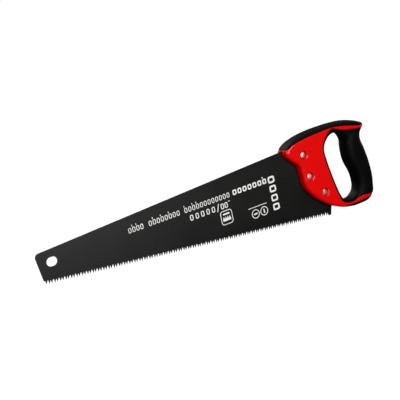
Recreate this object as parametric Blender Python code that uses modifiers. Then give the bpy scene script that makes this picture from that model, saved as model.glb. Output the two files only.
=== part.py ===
"""Panel hand saw with a 450 mm coated blade and a two-material closed handle.

The saw stands in its working position: the blade lies in the XZ plane, the teeth point down and the
handle is at +X. The origin is the centre of the grip, on the middle plane of the blade. Outlines are
written in millimetres from the heel of the blade, just above the tooth points: x runs from the toe
towards the handle and z runs up.
"""

import math

import bmesh
import bpy
from mathutils import Vector

MM = 0.001

# Driving dimensions, in millimetres.
BLADE_LENGTH = 450.0
BLADE_THICKNESS = 0.9
TEETH_PER_INCH = 7
TOE_HEIGHT = 38.5
TOE_RAKE = math.radians(13.5)
BACK_SLOPE = math.radians(10.0)
BODY_THICKNESS = 24.0
GRIP_THICKNESS = 27.0
EDGE_RADIUS = 3.0
GRIP_RADIUS = 9.5
GRIP_CENTRE = (53.0, 66.0)

# Gap between pieces that touch, and how far a cutter stands out past what it cuts.
GAP = 0.3
PROUD = 1.0

# Teeth.
PITCH = 25.4 / TEETH_PER_INCH
TOOTH_DEPTH = 4.8
TIP_Z = -0.8
ROOT_Z = TIP_Z + TOOTH_DEPTH
TOOTH_SET = 0.25
TOOTH_TIP_WIDTH = 0.25
TOOTH_LEAN = 0.4
TOOTH_TIP_SHARE = 0.8
HEEL_LAND = 7.2
TOE_LAND = 1.6
TOE_OVERHANG = 5.0
TEETH = int((BLADE_LENGTH - TOE_OVERHANG - HEEL_LAND - TOE_LAND) / PITCH)
FIRST_TOOTH_X = -(HEEL_LAND + TEETH * PITCH)

# The toe leans back, so its upper corner is the blade's foremost point.
TOE_FOOT_X = FIRST_TOOTH_X - TOE_LAND
TOE_CORNER_RADIUS = 5.5
HEEL_CORNER = (-0.9, TIP_Z)
HEEL_CORNER_RADIUS = 1.2
LAND_LENGTH = 5.8

# Hang hole in the toe: a slot with round ends.
HANG_HOLE_CENTRE = (-430.8, 25.8)
HANG_HOLE_HEIGHT = 11.5
HANG_HOLE_LENGTH = 14.0

# Handle fasteners: a screw from the printed side in a sleeve nut from the other side.
FASTENERS = [(-49.8, 94.8), (-40.8, 62.7), (-16.3, 36.4)]
RECESS_DIAMETER = 11.0
RECESS_DEPTH = 6.2
HEAD_DIAMETER = 9.4
HEAD_HEIGHT = 2.2
SLEEVE_DIAMETER = 5.8
SCREW_DIAMETER = 3.6
SCREW_SHORT_OF_BACK = 1.2
HEAD_CHAMFER = 0.8
SLEEVE_FLOOR = 0.6
SLOT_WIDTH = 1.2
SLOT_DEPTH = 0.8
SLOT_TURN = math.radians(35)

# Sides of a round piece, and the angle past which an edge is shaded sharp.
ROUND_SIDES = 24
SHARP_ANGLE = math.radians(35)

# Points closer than this are one point, in metres.
SAME_PLACE = 1e-6

# A point marked so is a sharp corner of an otherwise smooth outline.
CORNER = "corner"

HANDLE_OUTLINE = [
    (-79.0, 103.5),
    (-72.5, 111.0),
    (-58.0, 118.3),
    (-33.4, 125.0),
    (-10.0, 128.6),
    (14.0, 131.0),
    (36.0, 131.2),
    (51.0, 128.6),
    (61.6, 122.8),
    (60.0, 118.0),
    (55.6, 111.0),
    (55.8, 103.5),
    (63.4, 87.0),
    (71.6, 64.0),
    (75.6, 38.0),
    (74.2, 21.0),
    (65.0, 11.8),
    (48.0, 7.6),
    (33.0, 6.5),
    (8.0, 10.0),
    (-13.0, 18.8),
    (-36.0, 34.0),
    (-50.0, 51.0),
    (-54.4, 69.0),
    (-58.5, 80.0),
    (-71.0, 89.8),
    (-78.0, 97.0),
]
HAND_HOLE = [
    (4.8, 117.0),
    (-7.2, 109.0),
    (-11.8, 98.0),
    (-9.0, 83.0),
    (-2.3, 62.5),
    (5.2, 42.5),
    (12.0, 27.6),
    (19.2, 19.0),
    (31.0, 16.6),
    (43.0, 23.5),
    (47.6, 37.0),
    (42.6, 53.0),
    (33.0, 71.0),
    (29.0, 88.0),
    (28.4, 103.0),
    (21.0, 114.6),
]
# The rubber grip covers the rear of the handle and lines the front of the hand hole.
GRIP_REGION = [
    (2.0, 124.0),
    (-8.2, 115.5),
    (-13.9, 106.5),
    (-15.9, 96.5),
    (-13.1, 83.0),
    (-6.3, 62.0),
    (1.2, 42.0),
    (7.7, 27.3),
    (13.8, 17.2),
    (26.0, 13.4),
    (38.0, 15.0),
    (46.0, 18.4),
    (56.0, 19.9),
    (78.0, 19.6),
    (90.0, 19.6, CORNER),
    (90.0, 118.4, CORNER),
    (66.0, 118.4),
    (52.0, 118.4),
    (38.0, 118.6),
    (22.0, 120.0),
    (10.0, 122.8),
]
STRIP_REGION = [
    (-90.0, 105.0, CORNER),
    (-77.5, 105.4),
    (-68.0, 110.8),
    (-48.0, 117.0),
    (-22.0, 122.0),
    (3.0, 125.6),
    (24.0, 125.2),
    (42.0, 123.3),
    (56.0, 121.6),
    (75.0, 119.2, CORNER),
    (75.0, 140.0, CORNER),
    (-90.0, 140.0, CORNER),
]
HEEL_REGION = [
    (10.0, 5.0, CORNER),
    (22.0, 9.4),
    (36.0, 11.0),
    (56.0, 13.8),
    (68.0, 17.0),
    (85.0, 22.0, CORNER),
    (85.0, -5.0, CORNER),
    (10.0, -5.0, CORNER),
]
RUBBER_REGIONS = {"grip_sleeve": GRIP_REGION, "top_strip": STRIP_REGION, "heel_strip": HEEL_REGION}

# The hard core runs on under the rubber as one loop with the rest of the body.
CORE_OUTLINE = [
    (-30.0, 112.0),
    (-8.0, 124.6),
    (14.0, 126.2),
    (36.0, 125.4),
    (48.0, 121.0),
    (52.5, 108.0),
    (58.5, 90.0),
    (67.0, 64.0),
    (71.4, 38.0),
    (70.0, 23.0),
    (60.0, 15.4),
    (40.0, 11.4),
    (22.0, 11.2),
    (4.0, 16.5),
    (-20.0, 34.0),
    (-36.0, 70.0),
]
CORE_HOLE = [
    (4.0, 121.6),
    (-11.5, 112.5),
    (-17.2, 98.0),
    (-14.2, 82.0),
    (-7.2, 61.0),
    (0.4, 41.0),
    (7.4, 26.0),
    (15.5, 15.9),
    (33.0, 13.2),
    (46.0, 21.5),
    (50.4, 37.0),
    (46.0, 54.5),
    (36.8, 72.0),
    (32.8, 88.5),
    (31.4, 104.0),
    (23.0, 118.0),
]
CORE_THICKNESS = 16.0
# The thick rounded middle of the grip.
SWELL_OUTLINE = [
    (33.0, 116.0),
    (28.2, 103.0),
    (29.0, 88.0),
    (33.0, 71.0),
    (42.4, 53.0),
    (46.8, 37.0),
    (46.0, 24.0),
    (58.0, 12.5),
    (74.0, 22.0),
    (75.6, 38.0),
    (71.2, 64.0),
    (63.4, 87.0),
    (56.6, 103.5),
    (54.0, 114.0),
]
# Between these two levels the flat slab gives way to the rounded grip.
SWELL_ZONE = [(25.0, 106.0), (90.0, 106.0), (90.0, 26.0), (44.5, 26.0), (50.0, 40.0), (30.0, 60.0)]
# The tang of the blade, inside the handle, and the saw slot that takes it.
TANG_BACK_X = -38.0
SLOT_FRONT_X = -110.0
SLOT_FOOT_Z = -5.0
TANG_REAR = [(-29.0, 103.0), (-15.0, 62.0), (1.5, 16.0)]


def back_z(x):
    """Height of the blade's straight back above the heel corner."""
    return TOE_HEIGHT + (x + BLADE_LENGTH) * math.tan(BACK_SLOPE)


def rounded_corner(start, corner, end, radius, steps=6):
    """Points of the arc that rounds a corner between two straight edges."""
    start, corner, end = Vector(start), Vector(corner), Vector(end)
    a = (start - corner).normalized()
    b = (end - corner).normalized()
    half = a.angle(b) / 2
    centre = corner + (a + b).normalized() * radius / math.sin(half)
    first = corner + a * radius / math.tan(half) - centre
    last = corner + b * radius / math.tan(half) - centre
    turn = first.angle_signed(last)
    points = []
    for i in range(steps + 1):
        angle = -turn * i / steps
        x = first.x * math.cos(angle) - first.y * math.sin(angle)
        z = first.x * math.sin(angle) + first.y * math.cos(angle)
        points.append((centre.x + x, centre.y + z))
    return points


def new_collection(name):
    collection = bpy.data.collections.new(name)
    bpy.context.scene.collection.children.link(collection)
    return collection


def principled(name, colour, roughness, metallic=0.0):
    """A plain Principled material with a linear base colour."""
    material = bpy.data.materials.new(name)
    material.use_nodes = True
    shader = material.node_tree.nodes["Principled BSDF"]
    shader.inputs["Base Color"].default_value = (*colour, 1.0)
    shader.inputs["Roughness"].default_value = roughness
    shader.inputs["Metallic"].default_value = metallic
    return material


def add_spline(curve, points, smooth):
    """One closed loop: smooth through its points, or straight between them."""
    spline = curve.splines.new("BEZIER" if smooth else "POLY")
    if smooth:
        spline.bezier_points.add(len(points) - 1)
        for knot, (x, z, *corner) in zip(spline.bezier_points, points):
            knot.co = (x * MM, z * MM, 0)
            knot.handle_left_type = knot.handle_right_type = "VECTOR" if corner else "AUTO"
    else:
        spline.points.add(len(points) - 1)
        for knot, (x, z) in zip(spline.points, points):
            knot.co = (x * MM, z * MM, 0, 1)
    spline.use_cyclic_u = True


def flat_solid(name, loops, thickness, collection, smooth=True, radius=0.0, grow=0.0, steps=4):
    """A mesh solid from closed loops in the XZ plane, centred on Y = 0, with an optional edge radius."""
    curve = bpy.data.curves.new(name, "CURVE")
    curve.dimensions = "2D"
    curve.fill_mode = "BOTH"
    curve.resolution_u = steps
    curve.extrude = (thickness / 2 - radius) * MM
    curve.bevel_depth = radius * MM
    curve.bevel_resolution = 2
    curve.offset = (grow - radius) * MM
    for loop in loops:
        add_spline(curve, loop, smooth)
    guide = bpy.data.objects.new(name + "_guide", curve)
    guide.location = (-GRIP_CENTRE[0] * MM, 0, -GRIP_CENTRE[1] * MM)
    guide.rotation_euler = (math.pi / 2, 0, 0)
    collection.objects.link(guide)
    bpy.context.view_layer.update()
    evaluated = guide.evaluated_get(bpy.context.evaluated_depsgraph_get())
    mesh = bpy.data.meshes.new_from_object(evaluated)
    solid = bpy.data.objects.new(name, mesh)
    solid.matrix_world = guide.matrix_world.copy()
    collection.objects.link(solid)
    bpy.data.objects.remove(guide)
    bpy.data.curves.remove(curve)
    work = bmesh.new()
    work.from_mesh(mesh)
    bmesh.ops.remove_doubles(work, verts=work.verts, dist=SAME_PLACE)
    bmesh.ops.recalc_face_normals(work, faces=work.faces)
    work.to_mesh(mesh)
    work.free()
    return solid


def hide(tool):
    """Keeps a helper out of the model."""
    tool.hide_render = True
    tool.display_type = "WIRE"


def boolean(solid, tool, operation):
    """A Boolean modifier with a hidden tool."""
    modifier = solid.modifiers.new(operation.title() + "_" + tool.name, "BOOLEAN")
    modifier.operation = operation
    modifier.solver = "EXACT"
    modifier.object = tool
    hide(tool)


def baked(name, solid, collection):
    """A new object whose mesh is the solid with its modifiers applied."""
    bpy.context.view_layer.update()
    evaluated = solid.evaluated_get(bpy.context.evaluated_depsgraph_get())
    copy = bpy.data.objects.new(name, bpy.data.meshes.new_from_object(evaluated))
    copy.matrix_world = solid.matrix_world.copy()
    collection.objects.link(copy)
    return copy


def finish(solid, material):
    """Gives a sub-part its material and smooth round faces with sharp edges."""
    solid.data.materials.clear()
    solid.data.materials.append(material)
    solid.data.shade_smooth()
    solid.data.set_sharp_from_angle(angle=SHARP_ANGLE)


def blade_outline():
    """The blade without its teeth: a root line with one step for each tooth, the tang, back and toe."""
    root = [(FIRST_TOOTH_X + i * PITCH, ROOT_Z) for i in range(TEETH + 1)]
    land = (-LAND_LENGTH, TIP_Z)
    heel_top = TANG_REAR[-1]
    heel = rounded_corner(land, HEEL_CORNER, heel_top, HEEL_CORNER_RADIUS, steps=3)
    back = (TANG_BACK_X, back_z(TANG_BACK_X))
    foot = (TOE_FOOT_X, ROOT_Z)
    rise = math.tan(TOE_RAKE) * math.tan(BACK_SLOPE)
    toe_top_x = TOE_FOOT_X - math.tan(TOE_RAKE) * (back_z(TOE_FOOT_X) - ROOT_Z) / (1 + rise)
    toe = rounded_corner(back, (toe_top_x, back_z(toe_top_x)), foot, TOE_CORNER_RADIUS)
    return [*root, land, *heel, *reversed(TANG_REAR), back, *toe, foot]


def slot_loop(centre, length, height, tilt):
    """A closed slot with round ends."""
    radius = height / 2
    reach = length / 2 - radius
    points = []
    steps = 8
    for end in (1, -1):
        for i in range(steps + 1):
            angle = -math.pi / 2 + math.pi * i / steps + (0 if end > 0 else math.pi)
            x = end * reach + radius * math.cos(angle)
            z = radius * math.sin(angle)
            points.append(
                (
                    centre[0] + x * math.cos(tilt) - z * math.sin(tilt),
                    centre[1] + x * math.sin(tilt) + z * math.cos(tilt),
                )
            )
    return points


def circle_loop(centre, diameter, sides=ROUND_SIDES):
    """A closed circle as a polygon."""
    turn = 2 * math.pi / sides
    return [
        (centre[0] + diameter / 2 * math.cos(i * turn), centre[1] + diameter / 2 * math.sin(i * turn))
        for i in range(sides)
    ]


def tooth_seats(work):
    """The faces that the teeth stand on. In the flat outline's own axes, y is up and z is across."""
    return [
        face
        for face in work.faces
        if all(abs(vert.co.y - ROOT_Z * MM) < SAME_PLACE for vert in face.verts)
        and FIRST_TOOTH_X * MM < face.calc_center_median().x
    ]


def make_blade(parts, material):
    """The plate is cut from sheet, and each step of its root line is drawn out to a tooth."""
    holes = [circle_loop(place, SLEEVE_DIAMETER + 2 * GAP) for place in FASTENERS]
    hang = slot_loop(HANG_HOLE_CENTRE, HANG_HOLE_LENGTH, HANG_HOLE_HEIGHT, BACK_SLOPE / 2)
    loops = [blade_outline(), *[list(reversed(loop)) for loop in holes], list(reversed(hang))]
    blade = flat_solid("blade", loops, BLADE_THICKNESS, parts, smooth=False)
    work = bmesh.new()
    work.from_mesh(blade.data)
    first = FIRST_TOOTH_X * MM
    flat = {"angle_face_threshold": math.pi, "angle_shape_threshold": math.pi}
    bmesh.ops.join_triangles(work, faces=tooth_seats(work), **flat)
    drawn = bmesh.ops.extrude_discrete_faces(work, faces=tooth_seats(work))["faces"]
    for face in drawn:
        centre = face.calc_center_median()
        index = round((centre.x - first) / (PITCH * MM) - 0.5)
        tip = centre.x + (TOOTH_LEAN - 0.5) * PITCH * MM
        side = TOOTH_SET * MM * (1 if index % 2 else -1)
        for vert in face.verts:
            reach = (vert.co.x - centre.x) / (PITCH * MM / 2)
            vert.co.x = tip + reach * TOOTH_TIP_WIDTH / 2 * MM
            vert.co.y = TIP_Z * MM
            vert.co.z = vert.co.z * TOOTH_TIP_SHARE + side
    bmesh.ops.recalc_face_normals(work, faces=work.faces)
    work.to_mesh(blade.data)
    work.free()
    finish(blade, material)


def cylinder(name, place, y_from, y_to, diameter, collection, sides=ROUND_SIDES):
    """A cylinder along Y at a place on the handle, between two Y levels, all in millimetres."""
    mesh = bpy.data.meshes.new(name)
    work = bmesh.new()
    bmesh.ops.create_cone(
        work,
        cap_ends=True,
        segments=sides,
        radius1=diameter / 2 * MM,
        radius2=diameter / 2 * MM,
        depth=abs(y_to - y_from) * MM,
    )
    work.to_mesh(mesh)
    work.free()
    solid = bpy.data.objects.new(name, mesh)
    solid.rotation_euler = (math.pi / 2, 0, 0)
    solid.location = (
        (place[0] - GRIP_CENTRE[0]) * MM,
        (y_from + y_to) / 2 * MM,
        (place[1] - GRIP_CENTRE[1]) * MM,
    )
    collection.objects.link(solid)
    return solid


def turned(name, place, profile, turn, collection):
    """A turned piece along Y. The profile lists (radius, distance outwards), from its outer end inwards."""
    mesh = bpy.data.meshes.new(name)
    work = bmesh.new()
    verts = [work.verts.new((radius * MM, 0, out * MM)) for radius, out in profile]
    for a, b in zip(verts, verts[1:]):
        work.edges.new((a, b))
    work.to_mesh(mesh)
    work.free()
    solid = bpy.data.objects.new(name, mesh)
    screw = solid.modifiers.new("Screw", "SCREW")
    screw.steps = screw.render_steps = ROUND_SIDES
    screw.use_merge_vertices = True
    screw.merge_threshold = 0.01 * MM
    solid.rotation_euler = (turn, 0, 0)
    solid.location = ((place[0] - GRIP_CENTRE[0]) * MM, 0, (place[1] - GRIP_CENTRE[1]) * MM)
    collection.objects.link(solid)
    return solid


def make_outer(cutters):
    """The whole handle as one outer form: a slab with rounded edges and a thicker, rounder grip."""
    loops = [HANDLE_OUTLINE, list(reversed(HAND_HOLE))]
    slab = flat_solid("handle_slab", loops, BODY_THICKNESS, cutters, radius=EDGE_RADIUS)
    zone = flat_solid("swell_zone", [SWELL_ZONE], GRIP_THICKNESS + 2 * PROUD, cutters, smooth=False)
    swell = flat_solid("grip_swell", [SWELL_OUTLINE], GRIP_THICKNESS, cutters, radius=GRIP_RADIUS)
    boolean(slab, zone, "DIFFERENCE")
    boolean(slab, swell, "UNION")
    outer = baked("handle_form", slab, cutters)
    hide(slab)
    hide(outer)
    return outer


def region_prism(name, region, grow, cutters):
    """A prism through the whole handle over one region of its side."""
    return flat_solid(name, [region], GRIP_THICKNESS + 2 * PROUD, cutters, grow=grow)


def make_rubber(name, region, outer, core_room, parts, cutters, material):
    """One rubber piece: the handle's outer form inside a region, hollowed where the hard core passes."""
    piece = region_prism(name + "_region", region, -GAP / 2, cutters)
    boolean(piece, outer, "INTERSECT")
    boolean(piece, core_room, "DIFFERENCE")
    rubber = baked(name, piece, parts)
    hide(piece)
    finish(rubber, material)


def make_body(outer, parts, cutters, material):
    """The hard moulding: the outer form less the rubber regions, with its core, saw slot and bores."""
    body = baked("handle_body", outer, parts)
    for name, region in RUBBER_REGIONS.items():
        boolean(body, region_prism(name + "_room", region, GAP / 2, cutters), "DIFFERENCE")
    core = flat_solid("core", [CORE_OUTLINE, list(reversed(CORE_HOLE))], CORE_THICKNESS, cutters)
    boolean(body, core, "UNION")
    width = BLADE_THICKNESS + 2 * GAP
    boolean(body, flat_solid("saw_slot", [slot_outline()], width, cutters, smooth=False), "DIFFERENCE")
    half = BODY_THICKNESS / 2
    for i, place in enumerate(FASTENERS, 1):
        bore = cylinder(f"bore_{i}", place, -half, half, SLEEVE_DIAMETER + 2 * GAP, cutters)
        boolean(body, bore, "DIFFERENCE")
        for side, face in ((-1, "front"), (1, "back")):
            floor, mouth = side * (half - RECESS_DEPTH), side * (half + PROUD)
            recess = cylinder(f"recess_{i}_{face}", place, floor, mouth, RECESS_DIAMETER, cutters)
            boolean(body, recess, "DIFFERENCE")
    finish(body, material)


def slot_outline():
    """The room for the tang, open at the front and at the bottom."""
    back_left = (SLOT_FRONT_X, back_z(SLOT_FRONT_X) + GAP)
    back_right = (TANG_BACK_X + GAP, back_z(TANG_BACK_X) + GAP)
    rear = [(x + 1.2 * GAP, z) for x, z in TANG_REAR]
    foot = (rear[-1][0] + 5 * GAP, SLOT_FOOT_Z)
    return [back_left, back_right, *rear, foot, (SLOT_FRONT_X, SLOT_FOOT_Z)]


def screw_profile(seat, crown):
    """A low head on a plain shank that stops short of the sleeve's floor."""
    head = HEAD_DIAMETER / 2
    end = SCREW_SHORT_OF_BACK - seat
    return [
        (0.0, crown),
        (head - HEAD_CHAMFER, crown),
        (head, crown - HEAD_CHAMFER),
        (head, seat),
        (SCREW_DIAMETER / 2, seat),
        (SCREW_DIAMETER / 2, end),
        (0.0, end),
    ]


def sleeve_profile(seat, crown):
    """The same low head on a hollow sleeve, which the screw fills."""
    head = HEAD_DIAMETER / 2
    bore = SCREW_DIAMETER / 2 + GAP
    mouth = GAP - seat
    return [
        (0.0, crown),
        (head - HEAD_CHAMFER, crown),
        (head, crown - HEAD_CHAMFER),
        (head, seat),
        (SLEEVE_DIAMETER / 2, seat),
        (SLEEVE_DIAMETER / 2, mouth),
        (bore, mouth),
        (bore, seat - SLEEVE_FLOOR),
        (0.0, seat - SLEEVE_FLOOR),
    ]


def driver_slot(name, place, side, crown, turn, cutters):
    """A bar across a head, which cuts its driver slot."""
    mesh = bpy.data.meshes.new(name)
    work = bmesh.new()
    bmesh.ops.create_cube(work, size=1)
    length = HEAD_DIAMETER + 2 * PROUD
    bmesh.ops.scale(work, vec=(SLOT_WIDTH * MM, (SLOT_DEPTH + PROUD) * MM, length * MM), verts=work.verts)
    work.to_mesh(mesh)
    work.free()
    bar = bpy.data.objects.new(name, mesh)
    middle = side * (crown + (PROUD - SLOT_DEPTH) / 2)
    bar.location = ((place[0] - GRIP_CENTRE[0]) * MM, middle * MM, (place[1] - GRIP_CENTRE[1]) * MM)
    bar.rotation_euler = (0, turn, 0)
    cutters.objects.link(bar)
    return bar


def make_fasteners(parts, cutters, material):
    """Each fastener is a slotted screw in a sleeve nut, both with low heads sunk in the body."""
    seat = BODY_THICKNESS / 2 - RECESS_DEPTH + GAP
    crown = seat + HEAD_HEIGHT
    kinds = (("screw", screw_profile, -1), ("sleeve_nut", sleeve_profile, 1))
    for i, place in enumerate(FASTENERS, 1):
        for name, profile, side in kinds:
            piece = turned(f"{name}_{i}", place, profile(seat, crown), -side * math.pi / 2, parts)
            bar = driver_slot(f"{name}_slot_{i}", place, side, crown, i * SLOT_TURN, cutters)
            boolean(piece, bar, "DIFFERENCE")
            finish(piece, material)


def main():
    for obj in list(bpy.data.objects):
        bpy.data.objects.remove(obj)
    parts = new_collection("hand_saw")
    cutters = new_collection("cutters")
    coated_steel = principled("coated_steel", (0.012, 0.012, 0.011), 0.38, 0.0)
    red_plastic = principled("red_plastic", (0.72, 0.008, 0.004), 0.35)
    black_rubber = principled("black_rubber", (0.012, 0.012, 0.012), 0.7)
    plated_steel = principled("plated_steel", (0.75, 0.75, 0.73), 0.25, 1.0)
    make_blade(parts, coated_steel)
    outer = make_outer(cutters)
    core_loops = [CORE_OUTLINE, list(reversed(CORE_HOLE))]
    core_room = flat_solid("core_room", core_loops, CORE_THICKNESS + 2 * GAP, cutters, grow=GAP)
    for name, region in RUBBER_REGIONS.items():
        make_rubber(name, region, outer, core_room, parts, cutters, black_rubber)
    make_body(outer, parts, cutters, red_plastic)
    make_fasteners(parts, cutters, plated_steel)


main()
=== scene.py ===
# %% [markdown]
# # A panel hand saw, dressed for a portrait
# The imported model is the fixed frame: it says how long the blade is, where the handle sits and where
# each screw goes. Nothing here moves it. This notebook makes the surfaces that the eye sees: the rounded
# moulded handle, the ground teeth, the printed marks and the finish of each material.

# %% The frame
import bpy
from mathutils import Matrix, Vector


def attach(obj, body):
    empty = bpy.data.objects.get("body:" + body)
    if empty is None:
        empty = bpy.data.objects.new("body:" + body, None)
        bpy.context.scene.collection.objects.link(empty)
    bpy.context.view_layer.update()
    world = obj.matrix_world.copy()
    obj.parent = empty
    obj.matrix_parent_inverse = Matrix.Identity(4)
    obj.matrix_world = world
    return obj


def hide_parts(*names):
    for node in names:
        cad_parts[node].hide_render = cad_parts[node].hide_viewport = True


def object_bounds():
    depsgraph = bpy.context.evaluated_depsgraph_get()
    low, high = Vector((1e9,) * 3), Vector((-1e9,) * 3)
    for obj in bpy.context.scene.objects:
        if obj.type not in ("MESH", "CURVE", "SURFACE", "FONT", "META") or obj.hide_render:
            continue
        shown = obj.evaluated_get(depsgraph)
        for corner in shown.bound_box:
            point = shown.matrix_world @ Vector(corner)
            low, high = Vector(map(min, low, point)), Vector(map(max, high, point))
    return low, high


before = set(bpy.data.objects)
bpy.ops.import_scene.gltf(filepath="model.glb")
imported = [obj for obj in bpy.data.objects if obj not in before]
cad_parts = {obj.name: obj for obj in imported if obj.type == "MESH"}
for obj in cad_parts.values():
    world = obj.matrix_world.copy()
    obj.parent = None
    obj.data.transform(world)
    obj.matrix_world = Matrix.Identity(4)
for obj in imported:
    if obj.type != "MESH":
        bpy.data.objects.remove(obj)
cad_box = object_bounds()
print("CAD nodes:", ", ".join(sorted(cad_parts)))

# %% Blender's modules and the unit
import math

import bpy
from mathutils import Euler, Matrix, Vector

MM = 0.001
bpy.ops.object.select_all(action="DESELECT")
collection = bpy.context.scene.collection
cad_size = Vector(cad_box[1]) - Vector(cad_box[0])
print("The object measures", [round(size / MM, 1) for size in cad_size], "mm")

# %% [markdown]
# ## The camera
# A long saw is best shown from the toe end, at a slant, so that the blade runs away towards the handle.
# The camera is described by the point that it looks at, how far away it stands, its heading, how steeply
# it looks down and a slight roll. An 81 mm lens keeps the perspective gentle.

# %% Camera
AIM = Vector((-0.2698, 0.0, -0.0048))
DISTANCE = 1.180
HEADING = math.radians(30.46)
ELEVATION = math.radians(10.78)
ROLL = math.radians(-5.91)

camera = bpy.data.objects.new("camera", bpy.data.cameras.new("camera"))
collection.objects.link(camera)
camera.data.lens = 81.0
camera.data.sensor_width = 36.0
turn = Euler((math.pi / 2 - ELEVATION, 0, -HEADING)).to_matrix() @ Matrix.Rotation(ROLL, 3, "Z")
camera.matrix_world = Matrix.Translation(AIM + turn @ Vector((0, 0, DISTANCE))) @ turn.to_4x4()
bpy.context.scene.camera = camera
print("Camera at", [round(c, 4) for c in camera.matrix_world.translation])

# %% [markdown]
# ## The studio
# A black blade and a glossy red handle show only what they reflect. So the room is dim, and the lamps are
# soft boxes: a large one in front, a small near one that lays a grey sheen on the toe, one past the toe
# for the cheek's front edge, one above the toe for the rounded nose, and two behind and beside the grip,
# for whoever walks round the saw. The floor is plain, pale and lit evenly, and casts no light of its own
# on the saw. It lies a hair below the lowest point, so that the two never share a plane.

# %% Floor
LOWEST = cad_box[0][2]
FLOOR_GAP = 0.2
FLOOR_SIZE = 60.0
bpy.ops.mesh.primitive_plane_add(size=FLOOR_SIZE, location=(0, 0, LOWEST - FLOOR_GAP * MM))
floor = bpy.context.object
floor.name = "floor"
print("Floor at", round(floor.location.z, 4), "m")

# %% Lamps
def lamp(name, place, size, power, aim=(-0.15, 0.0, 0.0)):
    """A square soft box at a place, turned to face a point on the saw."""
    light = bpy.data.lights.new(name, "AREA")
    light.size = size
    light.energy = power
    holder = bpy.data.objects.new(name, light)
    holder.location = place
    holder.rotation_euler = (Vector(aim) - Vector(place)).to_track_quat("-Z", "Y").to_euler()
    holder.visible_camera = False
    collection.objects.link(holder)
    return holder


lamps = [
    lamp("key_lamp", (0.0, -1.6, 0.29), 0.9, 17.0),
    lamp("near_lamp", (-0.3, -0.5, -0.03), 0.2, 0.35, (-0.2, 0.0, -0.03)),
    lamp("side_lamp", (-1.2, -0.6, 0.2), 0.7, 3.6, (-0.1, 0.0, 0.0)),
    lamp("nose_lamp", (-0.7, 0.35, 0.95), 0.5, 4.0, (-0.13, 0.0, 0.05)),
    lamp("back_lamp", (-0.1, 1.7, 0.5), 0.9, 14.0),
    lamp("end_lamp", (1.4, 0.3, 0.5), 0.8, 12.0, (0.0, 0.0, 0.0)),
]
print(len(lamps), "lamps")

# %% Sky light on the floor
sun = bpy.data.lights.new("ceiling", "SUN")
sun.energy = 0.8
sun.angle = math.radians(80)
ceiling = bpy.data.objects.new("ceiling", sun)
collection.objects.link(ceiling)
print("The ceiling gives", sun.energy, "W a square metre")

# %% Room
ROOM_GLOW = 0.04
world = bpy.data.worlds.new("white_room")
bpy.context.scene.world = world
world.use_nodes = True
nodes = world.node_tree.nodes
glow = nodes["Background"]
glow.inputs["Color"].default_value = (1.0, 1.0, 1.0, 1.0)
glow.inputs["Strength"].default_value = ROOM_GLOW
backdrop = nodes.new("ShaderNodeBackground")
backdrop.inputs["Color"].default_value = (1.0, 1.0, 1.0, 1.0)
sight = nodes.new("ShaderNodeLightPath")
choice = nodes.new("ShaderNodeMixShader")
world.node_tree.links.new(sight.outputs["Is Camera Ray"], choice.inputs["Fac"])
world.node_tree.links.new(glow.outputs[0], choice.inputs[1])
world.node_tree.links.new(backdrop.outputs[0], choice.inputs[2])
world.node_tree.links.new(choice.outputs[0], nodes["World Output"].inputs["Surface"])
floor.visible_glossy = False
floor.visible_diffuse = False
bpy.context.scene.view_settings.view_transform = "Standard"
print("Room light from", world.name)

# %% [markdown]
# ## A helper for materials
# Colours are written as the hex numbers of a paint chart and turned to the linear values that a
# renderer adds up. One small function adds a node, sets its sockets and makes its links, so that a
# finish reads as a short list. A noise hardly ever leaves the middle of its range, so that middle is what
# a change in roughness is spread over.

# %% Colours and nodes
def colour(hex_text):
    """The linear colour, with alpha, of an sRGB hex text such as E60000."""
    parts = [int(hex_text[i : i + 2], 16) / 255 for i in (0, 2, 4)]
    return (*[c / 12.92 if c <= 0.04045 else ((c + 0.055) / 1.055) ** 2.4 for c in parts], 1.0)


def add(material, kind, links=(), sockets=(), **settings):
    """Adds a node with its settings, its socket values and its incoming links, and returns it."""
    node = material.node_tree.nodes.new("ShaderNode" + kind)
    for name, value in settings.items():
        setattr(node, name, value)
    for name, value in dict(sockets).items():
        node.inputs[name].default_value = value
    for name, output in dict(links).items():
        material.node_tree.links.new(output, node.inputs[name])
    return node


def new_material(name, base, roughness, metallic=0.0, **sockets):
    """A Principled material, its shader, and the Object coordinates that its patterns read."""
    material = bpy.data.materials.new(name)
    material.use_nodes = True
    shader = material.node_tree.nodes["Principled BSDF"]
    shader.inputs["Base Color"].default_value = colour(base)
    shader.inputs["Roughness"].default_value = roughness
    shader.inputs["Metallic"].default_value = metallic
    for socket, value in sockets.items():
        shader.inputs[socket].default_value = value
    place = add(material, "TexCoord").outputs["Object"]
    return material, shader, place


def per_mm(size):
    """The Scale of a noise whose grains are this many millimetres across."""
    return 1.0 / (size * MM)


NOISE_RANGE = {"From Min": 0.3, "From Max": 0.7}
print("E60000 is", [round(c, 3) for c in colour("E60000")])

# %% [markdown]
# ## The finishes
# The blade is sheet steel sprayed with a black PTFE coating and baked: nearly black, satin, with a faint
# orange peel from the spray. PTFE bends light less than most plastics, so its mirror is weaker: its index
# of refraction is about 1.36. A slow change in roughness comes from the hand that held the gun.

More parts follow.
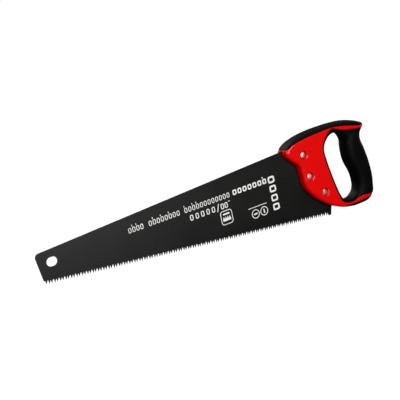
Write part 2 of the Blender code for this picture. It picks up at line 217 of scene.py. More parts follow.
# %% Sprayed PTFE coating
ptfe, shader, place = new_material("sprayed_ptfe_coating", "060605", 0.42, IOR=1.36)
peel = add(ptfe, "TexNoise", {"Vector": place}, {"Scale": per_mm(1.6), "Detail": 3.0})
cloud = add(ptfe, "TexNoise", {"Vector": place}, {"Scale": per_mm(45.0), "Detail": 2.0})
satin_range = {**NOISE_RANGE, "To Min": 0.38, "To Max": 0.47}
satin = add(ptfe, "MapRange", {"Value": cloud.outputs["Fac"]}, satin_range)
bump = add(ptfe, "Bump", {"Height": peel.outputs["Fac"]}, {"Strength": 0.12, "Distance": 0.02 * MM})
ptfe.node_tree.links.new(satin.outputs["Result"], shader.inputs["Roughness"])
ptfe.node_tree.links.new(bump.outputs["Normal"], shader.inputs["Normal"])
print(ptfe.name)

# %% [markdown]
# The hard half of the handle is polypropylene, injected into a polished mould. It comes out a deep
# glossy red. Its skin shows very slight sink waves, some 20 mm across, which make a long highlight wander
# a little.

# %% Moulded red polypropylene
red, shader, place = new_material("moulded_red_polypropylene", "F80000", 0.24, IOR=1.49)
sink = add(red, "TexNoise", {"Vector": place}, {"Scale": per_mm(20.0), "Detail": 1.0})
grain = add(red, "TexNoise", {"Vector": place}, {"Scale": per_mm(0.8), "Detail": 2.0})
wave = add(red, "Bump", {"Height": sink.outputs["Fac"]}, {"Strength": 0.25, "Distance": 0.35 * MM})
over_wave = {"Height": grain.outputs["Fac"], "Normal": wave.outputs["Normal"]}
skin = add(red, "Bump", over_wave, {"Strength": 0.05, "Distance": 0.01 * MM})
red.node_tree.links.new(skin.outputs["Normal"], shader.inputs["Normal"])
print(red.name)

# %% [markdown]
# The soft half is black thermoplastic rubber, moulded over the hard core. Its mould is eroded by sparks,
# which leaves a fine grain that keeps the skin matt and stops the hand from slipping.

# %% Overmoulded rubber
rubber, shader, place = new_material("overmoulded_black_rubber", "030303", 0.5, IOR=1.5)
shader.inputs["Specular IOR Level"].default_value = 0.09
erosion = {"Scale": per_mm(0.7), "Detail": 4.0, "Roughness": 0.6}
spark = add(rubber, "TexNoise", {"Vector": place}, erosion)
worn = add(rubber, "TexNoise", {"Vector": place}, {"Scale": per_mm(18.0), "Detail": 2.0})
worn_range = {**NOISE_RANGE, "To Min": 0.46, "To Max": 0.58}
rub = add(rubber, "MapRange", {"Value": worn.outputs["Fac"]}, worn_range)
bump = add(rubber, "Bump", {"Height": spark.outputs["Fac"]}, {"Strength": 0.35, "Distance": 0.06 * MM})
rubber.node_tree.links.new(rub.outputs["Result"], shader.inputs["Roughness"])
rubber.node_tree.links.new(bump.outputs["Normal"], shader.inputs["Normal"])
print(rubber.name)

# %% [markdown]
# The fasteners are steel with bright zinc plating. They tumble in a barrel while they are plated, which
# leaves a soft haze on their heads.

# %% Bright zinc plate
zinc, shader, place = new_material("bright_zinc_plate", "E6E6E3", 0.48, 1.0)
haze = add(zinc, "TexNoise", {"Vector": place}, {"Scale": per_mm(1.2), "Detail": 3.0})
haze_range = {**NOISE_RANGE, "To Min": 0.38, "To Max": 0.5}
dull = add(zinc, "MapRange", {"Value": haze.outputs["Fac"]}, haze_range)
zinc.node_tree.links.new(dull.outputs["Result"], shader.inputs["Roughness"])
print(zinc.name)

# %% [markdown]
# The marks are screen printed: white ink, pressed through a mesh and baked with the coating.

# %% Screen-printed ink
ink, shader, place = new_material("white_screen_ink", "FFFFFD", 0.5)
mesh_marks = add(ink, "TexNoise", {"Vector": place}, {"Scale": per_mm(0.5), "Detail": 2.0})
bump = add(ink, "Bump", {"Height": mesh_marks.outputs["Fac"]}, {"Strength": 0.1, "Distance": 0.01 * MM})
ink.node_tree.links.new(bump.outputs["Normal"], shader.inputs["Normal"])
print(ink.name)

# %% Pale studio floor
paper, shader, place = new_material("pale_paper", "505050", 0.9)
shader.inputs["Emission Color"].default_value = (1.0, 1.0, 1.0, 1.0)
shader.inputs["Emission Strength"].default_value = 0.97
fibre = add(paper, "TexNoise", {"Vector": place}, {"Scale": per_mm(3.0), "Detail": 2.0})
bump = add(paper, "Bump", {"Height": fibre.outputs["Fac"]}, {"Strength": 0.02, "Distance": 0.02 * MM})
paper.node_tree.links.new(bump.outputs["Normal"], shader.inputs["Normal"])
floor.data.materials.append(paper)
print(paper.name)

# %% [markdown]
# ## Tools of the bench
# A moulded form begins as flat outlines. Each outline is a curve, filled and given a thickness and a
# round edge, made a mesh, and then stood up so that the blade's plane is the XZ plane. Pieces are cut with
# Booleans, and a voxel remesh with a little smoothing melts the hard creases into the soft edges that a
# mould gives.

# %% Selecting and finishing
def only(piece):
    """Selects one object and makes it active."""
    bpy.ops.object.select_all(action="DESELECT")
    piece.select_set(True)
    bpy.context.view_layer.objects.active = piece


def apply_modifier(piece, kind, **settings):
    """Adds a modifier, sets it and applies it."""
    only(piece)
    modifier = piece.modifiers.new(kind.title(), kind)
    for name, value in settings.items():
        setattr(modifier, name, value)
    bpy.ops.object.modifier_apply(modifier=modifier.name)


def cut(piece, tool, operation="DIFFERENCE"):
    """Cuts a piece with a tool, or joins the tool to it."""
    apply_modifier(piece, "BOOLEAN", object=tool, operation=operation, solver="EXACT")


def melt(piece, voxel, rounds, keep=1.0):
    """Remeshes a piece in even voxels, in millimetres, smooths its creases and thins its faces out."""
    apply_modifier(piece, "REMESH", mode="VOXEL", voxel_size=voxel * MM)
    apply_modifier(piece, "SMOOTH", factor=0.5, iterations=rounds)
    if keep < 1.0:
        apply_modifier(piece, "DECIMATE", ratio=keep)


def join(piece, *others):
    """Puts other pieces into the first one's mesh."""
    only(piece)
    for other in others:
        other.select_set(True)
    bpy.ops.object.join()


def copy_of(piece, name):
    """A copy with its own mesh."""
    twin = piece.copy()
    twin.data = piece.data.copy()
    twin.name = name
    collection.objects.link(twin)
    return twin


def discard(*pieces):
    """Takes tools that have done their work out of the scene."""
    for piece in pieces:
        bpy.data.objects.remove(piece)


def finish_piece(piece, material, nodes=(), angle=35.0):
    """Shades a piece, gives it its material, rides it on the body and hides the CAD parts that it stands
    for.
    """
    only(piece)
    bpy.ops.object.shade_smooth_by_angle(angle=math.radians(angle))
    piece.data.materials.clear()
    piece.data.materials.append(material)
    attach(piece, "root")
    if nodes:
        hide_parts(*nodes)
    print(piece.name, len(piece.data.polygons), "faces")


# %% Flat outlines
HEEL = Vector((-53.0, 0.0, -66.0))
CORNER = "corner"


def outline(name, loops, thickness, edge=0.0, grow=0.0, smooth=True, steps=10, middle=0.0):
    """A solid from closed outlines of (x, z), in millimetres from the heel, centred on Y = middle."""
    curve = bpy.data.curves.new(name, "CURVE")
    curve.dimensions = "2D"
    curve.fill_mode = "BOTH"
    curve.resolution_u = steps
    curve.extrude = (thickness / 2 - edge) * MM
    curve.bevel_depth = edge * MM
    curve.bevel_resolution = 6
    curve.offset = (grow - edge) * MM
    for loop in loops:
        spline = curve.splines.new("BEZIER" if smooth else "POLY")
        if smooth:
            spline.bezier_points.add(len(loop) - 1)
            for knot, (x, z, *corner) in zip(spline.bezier_points, loop):
                knot.co = (x * MM, z * MM, 0)
                knot.handle_left_type = knot.handle_right_type = "VECTOR" if corner else "AUTO"
        else:
            spline.points.add(len(loop) - 1)
            for knot, (x, z) in zip(spline.points, loop):
                knot.co = (x * MM, z * MM, 0, 1)
        spline.use_cyclic_u = True
    piece = bpy.data.objects.new(name, curve)
    collection.objects.link(piece)
    only(piece)
    bpy.ops.object.convert(target="MESH")
    piece.rotation_euler = (math.pi / 2, 0, 0)
    piece.location = (HEEL.x * MM, middle * MM, HEEL.z * MM)
    bpy.ops.object.transform_apply()
    bpy.ops.object.mode_set(mode="EDIT")
    bpy.ops.mesh.select_all(action="SELECT")
    bpy.ops.mesh.remove_doubles(threshold=0.001 * MM)
    bpy.ops.mesh.normals_make_consistent(inside=False)
    bpy.ops.object.mode_set(mode="OBJECT")
    return piece


def rod(name, place, y_from, y_to, diameter, sides=48):
    """A cylinder along Y at a place on the handle, in millimetres."""
    bpy.ops.object.select_all(action="DESELECT")
    bpy.ops.mesh.primitive_cylinder_add(
        vertices=sides,
        radius=diameter / 2 * MM,
        depth=abs(y_to - y_from) * MM,
        location=((HEEL.x + place[0]) * MM, (y_from + y_to) / 2 * MM, (HEEL.z + place[1]) * MM),
        rotation=(math.pi / 2, 0, 0),
    )
    piece = bpy.context.object
    piece.name = name
    bpy.ops.object.transform_apply()
    return piece


print("Heel of the blade at", tuple(HEEL), "mm")

# %% [markdown]
# ## The handle as one form
# A closed handle is two things: a flat cheek, 24 mm thick, that holds the blade, and a fuller grip,
# 27 mm thick, that fills the palm. Each starts as an outline. The two are joined and then melted together,
# so that one surface flows from the cheek into the grip.

# %% Outlines of the handle
HANDLE_OUTLINE = [
    (-79.0, 103.5), (-72.5, 111.0), (-58.0, 118.3), (-33.4, 125.0), (-10.0, 128.6), (14.0, 131.0),
    (36.0, 131.2), (51.0, 128.6), (61.6, 122.8), (60.0, 118.0), (55.6, 111.0), (55.8, 103.5),
    (63.4, 87.0), (71.6, 64.0), (75.6, 38.0), (74.2, 21.0), (65.0, 11.8), (48.0, 7.6),
    (33.0, 6.5), (8.0, 10.0), (-13.0, 18.8), (-36.0, 34.0), (-50.0, 51.0), (-54.4, 69.0),
    (-58.5, 80.0), (-71.0, 89.8), (-78.0, 97.0),
]
HAND_HOLE = [
    (4.8, 117.0), (-7.2, 109.0), (-11.8, 98.0), (-9.0, 83.0), (-2.3, 62.5), (5.2, 42.5),
    (12.0, 27.6), (19.2, 19.0), (31.0, 16.6), (43.0, 23.5), (47.6, 37.0), (42.6, 53.0),
    (33.0, 71.0), (29.0, 88.0), (28.4, 103.0), (21.0, 114.6),
]
SWELL_OUTLINE = [
    (33.0, 116.0), (28.2, 103.0), (29.0, 88.0), (33.0, 71.0), (42.4, 53.0), (46.8, 37.0),
    (46.0, 24.0), (58.0, 12.5), (74.0, 22.0), (75.6, 38.0), (71.2, 64.0), (63.4, 87.0),
    (56.6, 103.5), (54.0, 114.0),
]
SWELL_ZONE = [(25.0, 106.0), (90.0, 106.0), (90.0, 26.0), (44.5, 26.0), (50.0, 40.0), (30.0, 60.0)]
print(len(HANDLE_OUTLINE), "points round the handle and", len(HAND_HOLE), "round the hand hole")

# %% Cheek and grip
CHEEK_THICKNESS = 24.0
GRIP_THICKNESS = 27.0
EDGE_RADIUS = 4.0
GRIP_RADIUS = 9.5
PROUD = 10.0
FORM_VOXEL = 0.8
FORM_ROUNDS = 14

form = outline("handle_form", [HANDLE_OUTLINE, HAND_HOLE[::-1]], CHEEK_THICKNESS, EDGE_RADIUS)
zone = outline("zone", [SWELL_ZONE], GRIP_THICKNESS + PROUD, smooth=False)
swell = outline("swell", [SWELL_OUTLINE], GRIP_THICKNESS, GRIP_RADIUS)
cut(form, zone)
join(form, swell)
melt(form, FORM_VOXEL, FORM_ROUNDS)
discard(zone)
print("Melted form:", len(form.data.polygons), "faces")

# %% Blending the ends of the grip
BLENDS = [((30.0, 106.0), 17.0), ((56.0, 106.0), 15.0), ((46.0, 26.0), 17.0), ((72.0, 26.0), 15.0)]
BLEND_ROUNDS = 160
group = form.vertex_groups.new(name="blend")
for (x, z), reach in BLENDS:
    centre = Vector((x + HEEL.x, z + HEEL.z)) * MM
    for vertex in form.data.vertices:
        away = (Vector((vertex.co.x, vertex.co.z)) - centre).length / (reach * MM)
        if away < 1:
            group.add([vertex.index], 1 - away * away, "ADD")
apply_modifier(form, "SMOOTH", factor=0.5, iterations=BLEND_ROUNDS, vertex_group="blend")
print("Handle form:", len(form.data.polygons), "faces")

# %% [markdown]
# ## Parting the two materials
# In the mould the red body is made first and the rubber flows into what is left. So each region of
# rubber is the form inside a boundary, and the body is the form without them, plus a hard core that runs
# on under the rubber. A hair's width is left between the two, as the real parting shows.

# %% Regions of rubber
GRIP_REGION = [
    (2.0, 124.0), (-8.2, 115.5), (-13.9, 106.5), (-15.9, 96.5), (-13.1, 83.0), (-6.3, 62.0),
    (1.2, 42.0), (7.7, 27.3), (13.8, 17.2), (26.0, 13.4), (38.0, 15.0), (46.0, 18.4),
    (56.0, 19.9), (78.0, 19.6), (90.0, 19.6, CORNER), (90.0, 118.4, CORNER), (66.0, 118.4),
    (52.0, 118.4), (38.0, 118.6), (22.0, 120.0), (10.0, 122.8),
]
STRIP_REGION = [
    (-90.0, 105.0, CORNER), (-77.5, 105.4), (-68.0, 110.8), (-48.0, 117.0), (-22.0, 122.0),
    (3.0, 125.6), (24.0, 125.2), (42.0, 123.3), (56.0, 121.6), (75.0, 119.2, CORNER),
    (75.0, 140.0, CORNER), (-90.0, 140.0, CORNER),
]
HEEL_REGION = [
    (10.0, 5.0, CORNER), (22.0, 9.4), (36.0, 11.0), (56.0, 13.8), (68.0, 17.0),
    (85.0, 22.0, CORNER), (85.0, -5.0, CORNER), (10.0, -5.0, CORNER),
]
CORE_OUTLINE = [
    (-30.0, 112.0), (-8.0, 124.6), (14.0, 126.2), (36.0, 125.4), (48.0, 121.0), (52.5, 108.0),
    (58.5, 90.0), (67.0, 64.0), (71.4, 38.0), (70.0, 23.0), (60.0, 15.4), (40.0, 11.4),
    (22.0, 11.2), (4.0, 16.5), (-20.0, 34.0), (-36.0, 70.0),
]
CORE_HOLE = [
    (4.0, 121.6), (-11.5, 112.5), (-17.2, 98.0), (-14.2, 82.0), (-7.2, 61.0), (0.4, 41.0),
    (7.4, 26.0), (15.5, 15.9), (33.0, 13.2), (46.0, 21.5), (50.4, 37.0), (46.0, 54.5),
    (36.8, 72.0), (32.8, 88.5), (31.4, 104.0), (23.0, 118.0),
]
CORE_THICKNESS = 16.0
GAP = 0.3
REGIONS = {"grip_sleeve": GRIP_REGION, "top_strip": STRIP_REGION, "heel_strip": HEEL_REGION}
print("Rubber pieces:", ", ".join(REGIONS))

# %% Rubber pieces
FINE_VOXEL = 0.55
FINE_ROUNDS = 3
FACES_KEPT = 0.5
core_room = outline(
    "core_room", [CORE_OUTLINE, CORE_HOLE[::-1]], CORE_THICKNESS + 2 * GAP, grow=GAP
)
for name, region in REGIONS.items():
    piece = outline(name + "_soft", [region], GRIP_THICKNESS + PROUD, grow=-GAP / 2)
    cut(piece, form, "INTERSECT")
    cut(piece, core_room)
    melt(piece, FINE_VOXEL, FINE_ROUNDS, FACES_KEPT)
    finish_piece(piece, rubber, [name])
discard(core_room)

# %% [markdown]
# ## The red body
# The hard moulding holds everything together. After the rubber regions are taken away, the core is
# added back, a saw slot is cut for the tang, and three stepped bores are sunk for the fasteners.

# %% Body
FASTENERS = [(-49.8, 94.8), (-40.8, 62.7), (-16.3, 36.4)]
RECESS_DIAMETER = 11.0
RECESS_DEPTH = 6.2
SLEEVE_DIAMETER = 5.8
BLADE_THICKNESS = 0.9
SLOT = [
    (-110.0, 98.8), (-37.7, 111.6), (-28.6, 103.0), (-14.6, 62.0), (1.9, 16.0), (3.4, -5.0), (-110.0, -5.0),
]

body = copy_of(form, "handle_body_hard")
for name, region in REGIONS.items():
    room = outline("room", [region], GRIP_THICKNESS + PROUD, grow=GAP / 2)
    cut(body, room)
    discard(room)
core = outline("core", [CORE_OUTLINE, CORE_HOLE[::-1]], CORE_THICKNESS)
cut(body, core, "UNION")
slot = outline("slot", [SLOT], BLADE_THICKNESS + 2 * GAP, smooth=False)
cut(body, slot)
half = CHEEK_THICKNESS / 2
for place in FASTENERS:
    bore = rod("bore", place, -half - 1, half + 1, SLEEVE_DIAMETER + 2 * GAP)
    cut(body, bore)
    discard(bore)
    for side in (-1, 1):
        recess = rod("recess", place, side * (half - RECESS_DEPTH), side * (half + 2), RECESS_DIAMETER)
        cut(body, recess)
        discard(recess)
discard(core, slot)
melt(body, FINE_VOXEL, FINE_ROUNDS, FACES_KEPT)
finish_piece(body, red, ["handle_body"])
discard(form)

# %% [markdown]
# ## The blade
# The plate is stamped from 0.9 mm sheet. Its outline is one straight back, a raked toe with a rounded
# corner, and a root line with a seat for each tooth. An outline that is filled and thickened gives true
# flat sides, which a subdivided box would not. The tang goes on inside the handle.

# %% Plate
TEETH = 120
PITCH = 25.4 / 7
TIP_Z = -0.8
ROOT_Z = 4.0
GULLET_WIDTH = 0.8
FIRST_TOOTH_X = -7.2 - TEETH * PITCH
TOE_FOOT_X = FIRST_TOOTH_X - 1.6
BLADE_LENGTH = 450.0
TOE_HEIGHT = 38.5
BACK_SLOPE = math.radians(10.0)
TOE_RAKE = math.radians(13.5)
TOE_CORNER_RADIUS = 5.5
TANG_REAR = [(1.5, 16.0), (-15.0, 62.0), (-29.0, 103.0)]
TANG_BACK_X = -38.0
HEEL_LAND_X = -5.8
HEEL_X = -0.9
HEEL_CORNER_RADIUS = 1.2


def back_z(x):
    """Height of the straight back above the heel."""
    return TOE_HEIGHT + (x + BLADE_LENGTH) * math.tan(BACK_SLOPE)


def arc(centre, radius, start, end, steps):
    """Points of an arc about a centre, from one angle to another, in degrees."""
    points = []
    for i in range(steps + 1):
        angle = math.radians(start + (end - start) * i / steps)
        points.append((centre[0] + radius * math.cos(angle), centre[1] + radius * math.sin(angle)))
    return points


def toe_corner():
    """The round corner where the back meets the raked toe."""
    rise = math.tan(TOE_RAKE) * math.tan(BACK_SLOPE)
    x = TOE_FOOT_X - math.tan(TOE_RAKE) * (back_z(TOE_FOOT_X) - ROOT_Z) / (1 + rise)
    back = Vector((math.cos(BACK_SLOPE), math.sin(BACK_SLOPE)))
    toe = Vector((math.sin(TOE_RAKE), -math.cos(TOE_RAKE)))
    half = back.angle(toe) / 2
    centre = Vector((x, back_z(x))) + (back + toe).normalized() * TOE_CORNER_RADIUS / math.sin(half)
    start, end = 90 + math.degrees(BACK_SLOPE), 180 + math.degrees(TOE_RAKE)
    return arc(centre, TOE_CORNER_RADIUS, start, end, 14)


root = []
for i in range(TEETH + 1):
    x = FIRST_TOOTH_X + i * PITCH
    root += [(x - GULLET_WIDTH / 2, ROOT_Z), (x + GULLET_WIDTH / 2, ROOT_Z)]
heel_corner = (HEEL_X - HEEL_CORNER_RADIUS, TIP_Z + HEEL_CORNER_RADIUS)
heel = [(HEEL_LAND_X, TIP_Z), *arc(heel_corner, HEEL_CORNER_RADIUS, -90, 0, 5)]
tang = [*TANG_REAR, (TANG_BACK_X, back_z(TANG_BACK_X))]
plate_loop = [*root, *heel, *tang, *toe_corner(), (TOE_FOOT_X, ROOT_Z)]
print(len(plate_loop), "points round the plate")

# %% [markdown]
# The hang hole is a slot with round ends, stamped with the outline. Three round holes take the sleeves of
# the fasteners.

# %% Holes and thickness
HANG_HOLE = (-430.8, 25.8)
HANG_HOLE_HEIGHT = 11.5
HANG_HOLE_LENGTH = 14.0
HANG_HOLE_TILT = 5.0


def slot_loop(centre, length, height, tilt):
    """A closed slot with round ends, tilted by an angle in degrees."""
    reach = (length - height) / 2
    along = Vector((math.cos(math.radians(tilt)), math.sin(math.radians(tilt)))) * reach
    right = arc(Vector(centre) + along, height / 2, tilt - 90, tilt + 90, 14)
    left = arc(Vector(centre) - along, height / 2, tilt + 90, tilt + 270, 14)
    return [*right, *left]


holes = [slot_loop(HANG_HOLE, HANG_HOLE_LENGTH, HANG_HOLE_HEIGHT, HANG_HOLE_TILT)]
holes += [arc(place, SLEEVE_DIAMETER / 2 + GAP, 0, 350, 35) for place in FASTENERS]
blade = outline("blade_plate", [plate_loop, *holes], BLADE_THICKNESS, smooth=False)
print("Plate:", len(blade.data.polygons), "faces")

# %% [markdown]
# ## The teeth
# Seven teeth to the inch. The teeth of a hard-point saw are ground: the wheel crosses the plate at a
# slant, one way in one gullet and the other way in the next. So each tooth comes to a point on one side,
# and looked at from the toe every second gullet is open and every other one is half closed. Each seat is
# drawn down to a ridge, then the gullets are slanted and the points set to their sides.

# %% Teeth
TOOTH_DEPTH = ROOT_Z - TIP_Z
POINT_SHARE = 0.42
GRIND_ANGLE = math.radians(30.0)
SLANT = BLADE_THICKNESS / 2 * math.tan(GRIND_ANGLE)
TOOTH_SET = 0.15
POINT_DROP = 1.0


def move(piece, test, by):
    """Moves the points of a piece that pass a test, by an offset in millimetres."""
    only(piece)
    bpy.ops.object.mode_set(mode="EDIT")
    bpy.ops.mesh.select_mode(type="VERT")
    bpy.ops.mesh.select_all(action="DESELECT")
    bpy.ops.object.mode_set(mode="OBJECT")
    for vertex in piece.data.vertices:
        vertex.select = test(vertex.co / MM - HEEL)
    bpy.ops.object.mode_set(mode="EDIT")
    bpy.ops.transform.translate(value=[step * MM for step in by])
    bpy.ops.object.mode_set(mode="OBJECT")


def step_of(point):
    """How many pitches a point lies from the first gullet."""
    return (point.x - FIRST_TOOTH_X) / PITCH


def in_row(point, z):
    """Whether a point lies at a height, somewhere along the row of teeth."""
    return abs(point.z - z) < 0.01 and -0.3 < step_of(point) < TEETH + 0.3


only(blade)
bpy.ops.object.mode_set(mode="EDIT")
bpy.ops.mesh.select_mode(type="FACE")
bpy.ops.mesh.select_all(action="DESELECT")
bpy.ops.object.mode_set(mode="OBJECT")
for face in blade.data.polygons:
    middle = face.center / MM - HEEL
    on_seat = 0 < step_of(middle) < TEETH and 0.2 < step_of(middle) % 1 < 0.8
    face.select = in_row(middle, ROOT_Z) and face.normal.z < -0.9 and on_seat
seats = sum(face.select for face in blade.data.polygons)
bpy.ops.object.mode_set(mode="EDIT")
bpy.ops.mesh.extrude_region_move(TRANSFORM_OT_translate={"value": (0, 0, -TOOTH_DEPTH * MM)})
bpy.ops.object.mode_set(mode="OBJECT")
left = POINT_SHARE * PITCH - GULLET_WIDTH / 2
right = (1 - POINT_SHARE) * PITCH - GULLET_WIDTH / 2
move(blade, lambda p: in_row(p, TIP_Z) and 0.01 < step_of(p) % 1 < 0.3, (left, 0, 0))
move(blade, lambda p: in_row(p, TIP_Z) and 0.7 < step_of(p) % 1 < 0.99, (-right, 0, 0))
bpy.ops.object.mode_set(mode="EDIT")
bpy.ops.mesh.select_all(action="SELECT")
bpy.ops.mesh.remove_doubles(threshold=0.02 * MM)
bpy.ops.object.mode_set(mode="OBJECT")
print(seats, "seat faces drawn down")

# %% Grinding and setting
for odd in (0, 1):
    for side in (-1, 1):
        lean = (SLANT if odd else -SLANT) * side
        move(
            blade,
            lambda p: in_row(p, ROOT_Z) and round(step_of(p)) % 2 == odd and p.y * side > 0,
            (lean, 0, 0),
        )
    point_side = -1 if odd else 1
    move(
        blade,
        lambda p: in_row(p, TIP_Z) and int(step_of(p)) % 2 == odd and p.y * point_side < 0,
        (0, 0, POINT_DROP),
    )
    move(
        blade,
        lambda p: p.z < ROOT_Z - 0.5 and -0.3 < step_of(p) < TEETH - 0.2 and int(step_of(p)) % 2 == odd,
        (0, TOOTH_SET * point_side, 0),
    )
finish_piece(blade, ptfe, ["blade"], angle=12.0)

# %% [markdown]
# ## The printed marks
# A saw carries its size, its pitch and some signs, in white ink. Here they are plain shapes: rows of
# small frames, a sign with a tooth line, two rings and a column of frames. They say nothing and belong to
# no maker. Each group is a flat outline, a few hundredths of a millimetre proud of the coating.

# %% Layout of the print
LABEL_START = (-325.0, 37.6)
LABEL_TILT = 6.9
INK_THICKNESS = 0.05


def on_label(along, up):
    """A place on the label, whose lines rise gently towards the handle."""
    c, s = math.cos(math.radians(LABEL_TILT)), math.sin(math.radians(LABEL_TILT))
    return (LABEL_START[0] + along * c - up * s, LABEL_START[1] + along * s + up * c)


def frame_loop(centre, width, height, radius, tilt=LABEL_TILT):
    """A closed rectangle with round corners, tilted by an angle in degrees."""
    points = []
    corners = ((1, -1, -90), (1, 1, 0), (-1, 1, 90), (-1, -1, 180))
    c, s = math.cos(math.radians(tilt)), math.sin(math.radians(tilt))
    for x, y, start in corners:
        middle = (x * (width / 2 - radius), y * (height / 2 - radius))
        for u, v in arc(middle, radius, start, start + 90, 4):
            points.append((centre[0] + u * c - v * s, centre[1] + u * s + v * c))
    return points


def bar(along, up, width, height):
    """A solid bar, from its lower left corner."""
    centre = on_label(along + width / 2, up + height / 2)
    return frame_loop(centre, width, height, min(width, height) * 0.25)


def hollow(centre, width, height, stroke, radius):
    """A frame: an outer and an inner loop."""
    inner = frame_loop(centre, width - 2 * stroke, height - 2 * stroke, max(radius - stroke, 0.3))
    return [frame_loop(centre, width, height, radius), inner]


def ring(centre, radius, stroke):
    """A ring: an outer and an inner circle."""
    return [arc(centre, radius, 0, 350, 35), arc(centre, radius - stroke, 0, 350, 35)]


def printed(name, loops):
    """A group of marks, on the side of the blade that faces -Y."""
    middle = -(BLADE_THICKNESS / 2 + 0.3 * INK_THICKNESS)
    piece = outline(name, loops, INK_THICKNESS, smooth=False, middle=middle)
    finish_piece(piece, ink)


print("The label starts at", LABEL_START, "and rises at", LABEL_TILT, "degrees")

# %% Rows of frames
# Each kind of frame has a width, a height and a stroke.
SMALL = (4.4, 7.0, 1.0)
BOLD = (6.4, 7.4, 1.9)
SIZE = (5.0, 7.8, 1.25)
FRAME_RADIUS = 2.0
TICK_GAP = 0.9
TICK_HEIGHT = 2.2
# Each word has a start, a count of frames, their step and the frames that carry a tick.
WORDS = [(0.0, 4, 5.8, (1, 2)), (30.0, 8, 6.0, (1, 3, 5)), (84.0, 12, 6.1, (0, 2, 3))]
WORDS_UP = 0.4
SIZES_UP = -12.2
SLASH = [(132.0, -13.4), (133.4, -13.4), (136.8, -3.2), (135.4, -3.2)]


def row(start, up, count, step, mark, tall=()):
    """Hollow frames side by side, of which some have a tick that stands up over them."""
    width, height, stroke = mark
    loops = []
    for i in range(count):
        centre = on_label(start + i * step + width / 2, up + height / 2)
        loops += hollow(centre, width, height, stroke, FRAME_RADIUS)
        if i in tall:
            loops.append(bar(start + i * step, up + height + TICK_GAP, stroke, TICK_HEIGHT))
    return loops


words = []
for start, count, step, tall in WORDS:
    words += row(start, WORDS_UP, count, step, SMALL, tall)
printed("print_words", words)
printed("print_title", row(start=161.0, up=0.8, count=7, step=8.35, mark=BOLD, tall=(6,)))
size_row = row(start=90.0, up=SIZES_UP, count=5, step=8.6, mark=SIZE)
size_row.append([on_label(along, up) for along, up in SLASH])
size_row += row(start=138.8, up=SIZES_UP, count=2, step=6.2, mark=SIZE)
size_row.append(bar(along=151.6, up=-4.8, width=2.6, height=1.0))
printed("print_size_row", size_row)

# %% The sign with a tooth line
SIGN_CENTRE = (144.8, -24.6)
SAW_LEFT = 138.3
SAW_RIGHT = 151.1
SAW_FOOT = -29.4
SAW_VALLEY = -26.5
SAW_TOOTH = 3.6
SAW_STEPS = 8

saw_step = (SAW_RIGHT - SAW_LEFT) / SAW_STEPS
saw_line = [on_label(SAW_RIGHT, SAW_FOOT), on_label(SAW_LEFT, SAW_FOOT)]
for i in range(SAW_STEPS + 1):
    saw_line.append(on_label(SAW_LEFT + i * saw_step, SAW_VALLEY + (SAW_TOOTH if i % 2 else 0.0)))
sign = hollow(on_label(*SIGN_CENTRE), width=19.0, height=19.5, stroke=1.05, radius=4.0)
sign += [saw_line, bar(along=139.6, up=-20.9, width=10.4, height=2.2)]
printed("print_tooth_sign", sign)

# %% Rings and a rule
# Each ring has a centre and the tilt of the bar inside it.
RINGS = [((-131.4, 25.8), 10.0), ((-117.0, 27.4), 100.0)]
ring_marks = []
for centre, tilt in RINGS:
    ring_marks += ring(centre, radius=6.4, stroke=1.1)
    ring_marks.append(frame_loop(centre, width=6.0, height=2.2, radius=0.5, tilt=tilt))
printed("print_rings", ring_marks)
printed("print_rule", [frame_loop((-127.4, 36.0), width=31.0, height=0.9, radius=0.3)])

# %% Column of frames
COLUMN_FOOT = Vector((-96.0, 29.6))
COLUMN_STEP = Vector((-1.75, 12.9))
column = []
for i in range(4):
    centre = COLUMN_FOOT + i * COLUMN_STEP
    column += hollow(centre, width=11.0, height=9.6, stroke=2.5, radius=2.6)
printed("print_column", column)

# %% [markdown]
# ## The fasteners
# Three screws come from the printed side, each into a sleeve nut from the other side, and both have low
# domed heads with a driver slot. They are turned work, so each is half a profile, spun about its axis,
# with the slot cut by a bar and its edges eased.

# %% Turning
SCREW_DIAMETER = 3.6
HEAD_DIAMETER = 9.4
HEAD_HEIGHT = 2.2
DOME_HEIGHT = 1.3
SLOT_WIDTH = 1.2
SLOT_DEPTH = 0.9
SLOT_TURN = 35
SCREW_SHORT_OF_BACK = 1.2
SLEEVE_FLOOR = 0.6
EASE = 0.12
SEAT = CHEEK_THICKNESS / 2 - RECESS_DEPTH + GAP
CROWN = SEAT + HEAD_HEIGHT


def dome(steps=8):
    """The domed top of a head, as (radius, height) from its middle outwards."""
    radius = HEAD_DIAMETER / 2
    points = []
    for i in range(steps + 1):
        angle = math.pi / 2 * i / steps
        points.append((radius * math.sin(angle), CROWN - DOME_HEIGHT * (1 - math.cos(angle))))
    return points


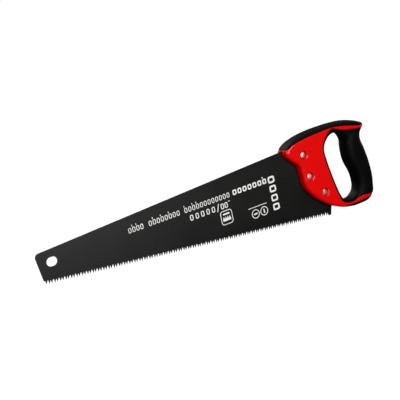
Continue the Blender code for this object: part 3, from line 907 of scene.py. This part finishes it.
def turned(name, place, profile, side):
    """A turned piece whose outer end faces -Y or +Y: its profile is spun and moved to its place."""
    mesh = bpy.data.meshes.new(name)
    points = [(radius * MM, 0, height * MM) for radius, height in profile]
    mesh.from_pydata(points, [(i, i + 1) for i in range(len(points) - 1)], [])
    piece = bpy.data.objects.new(name, mesh)
    collection.objects.link(piece)
    merging = {"use_merge_vertices": True, "merge_threshold": 0.01 * MM}
    apply_modifier(piece, "SCREW", steps=64, render_steps=64, **merging)
    piece.rotation_euler = (-side * math.pi / 2, 0, 0)
    piece.location = ((HEEL.x + place[0]) * MM, 0, (HEEL.z + place[1]) * MM)
    only(piece)
    bpy.ops.object.transform_apply()
    bpy.ops.object.mode_set(mode="EDIT")
    bpy.ops.mesh.select_all(action="SELECT")
    bpy.ops.mesh.normals_make_consistent(inside=False)
    bpy.ops.object.mode_set(mode="OBJECT")
    return piece


head = [*dome(), (HEAD_DIAMETER / 2, SEAT)]
shank, end = SCREW_DIAMETER / 2, SCREW_SHORT_OF_BACK - SEAT
screw_profile = [*head, (shank, SEAT), (shank, end), (0.0, end)]
sleeve, bore, mouth, bottom = SLEEVE_DIAMETER / 2, shank + GAP, GAP - SEAT, SEAT - SLEEVE_FLOOR
sleeve_profile = [*head, (sleeve, SEAT), (sleeve, mouth), (bore, mouth), (bore, bottom), (0.0, bottom)]
print("Heads stand at", round(CROWN, 2), "mm from the blade's middle")

# %% Screws and sleeve nuts
for i, place in enumerate(FASTENERS, 1):
    for kind, profile, side in (("screw", screw_profile, -1), ("sleeve_nut", sleeve_profile, 1)):
        piece = turned(f"{kind}_{i}_turned", place, profile, side)
        bpy.ops.object.select_all(action="DESELECT")
        middle = Vector(((HEEL.x + place[0]), side * CROWN, (HEEL.z + place[1]))) * MM
        tilt = (0, math.radians(SLOT_TURN * i), 0)
        bpy.ops.mesh.primitive_cube_add(size=1, location=middle, rotation=tilt)
        slit = bpy.context.object
        slit.scale = (SLOT_WIDTH * MM, 2 * SLOT_DEPTH * MM, (HEAD_DIAMETER + 2.6) * MM)
        bpy.ops.object.transform_apply()
        cut(piece, slit)
        discard(slit)
        easing = {"limit_method": "ANGLE", "angle_limit": math.radians(50)}
        apply_modifier(piece, "BEVEL", width=EASE * MM, segments=2, **easing)
        finish_piece(piece, zinc, [f"{kind}_{i}"])
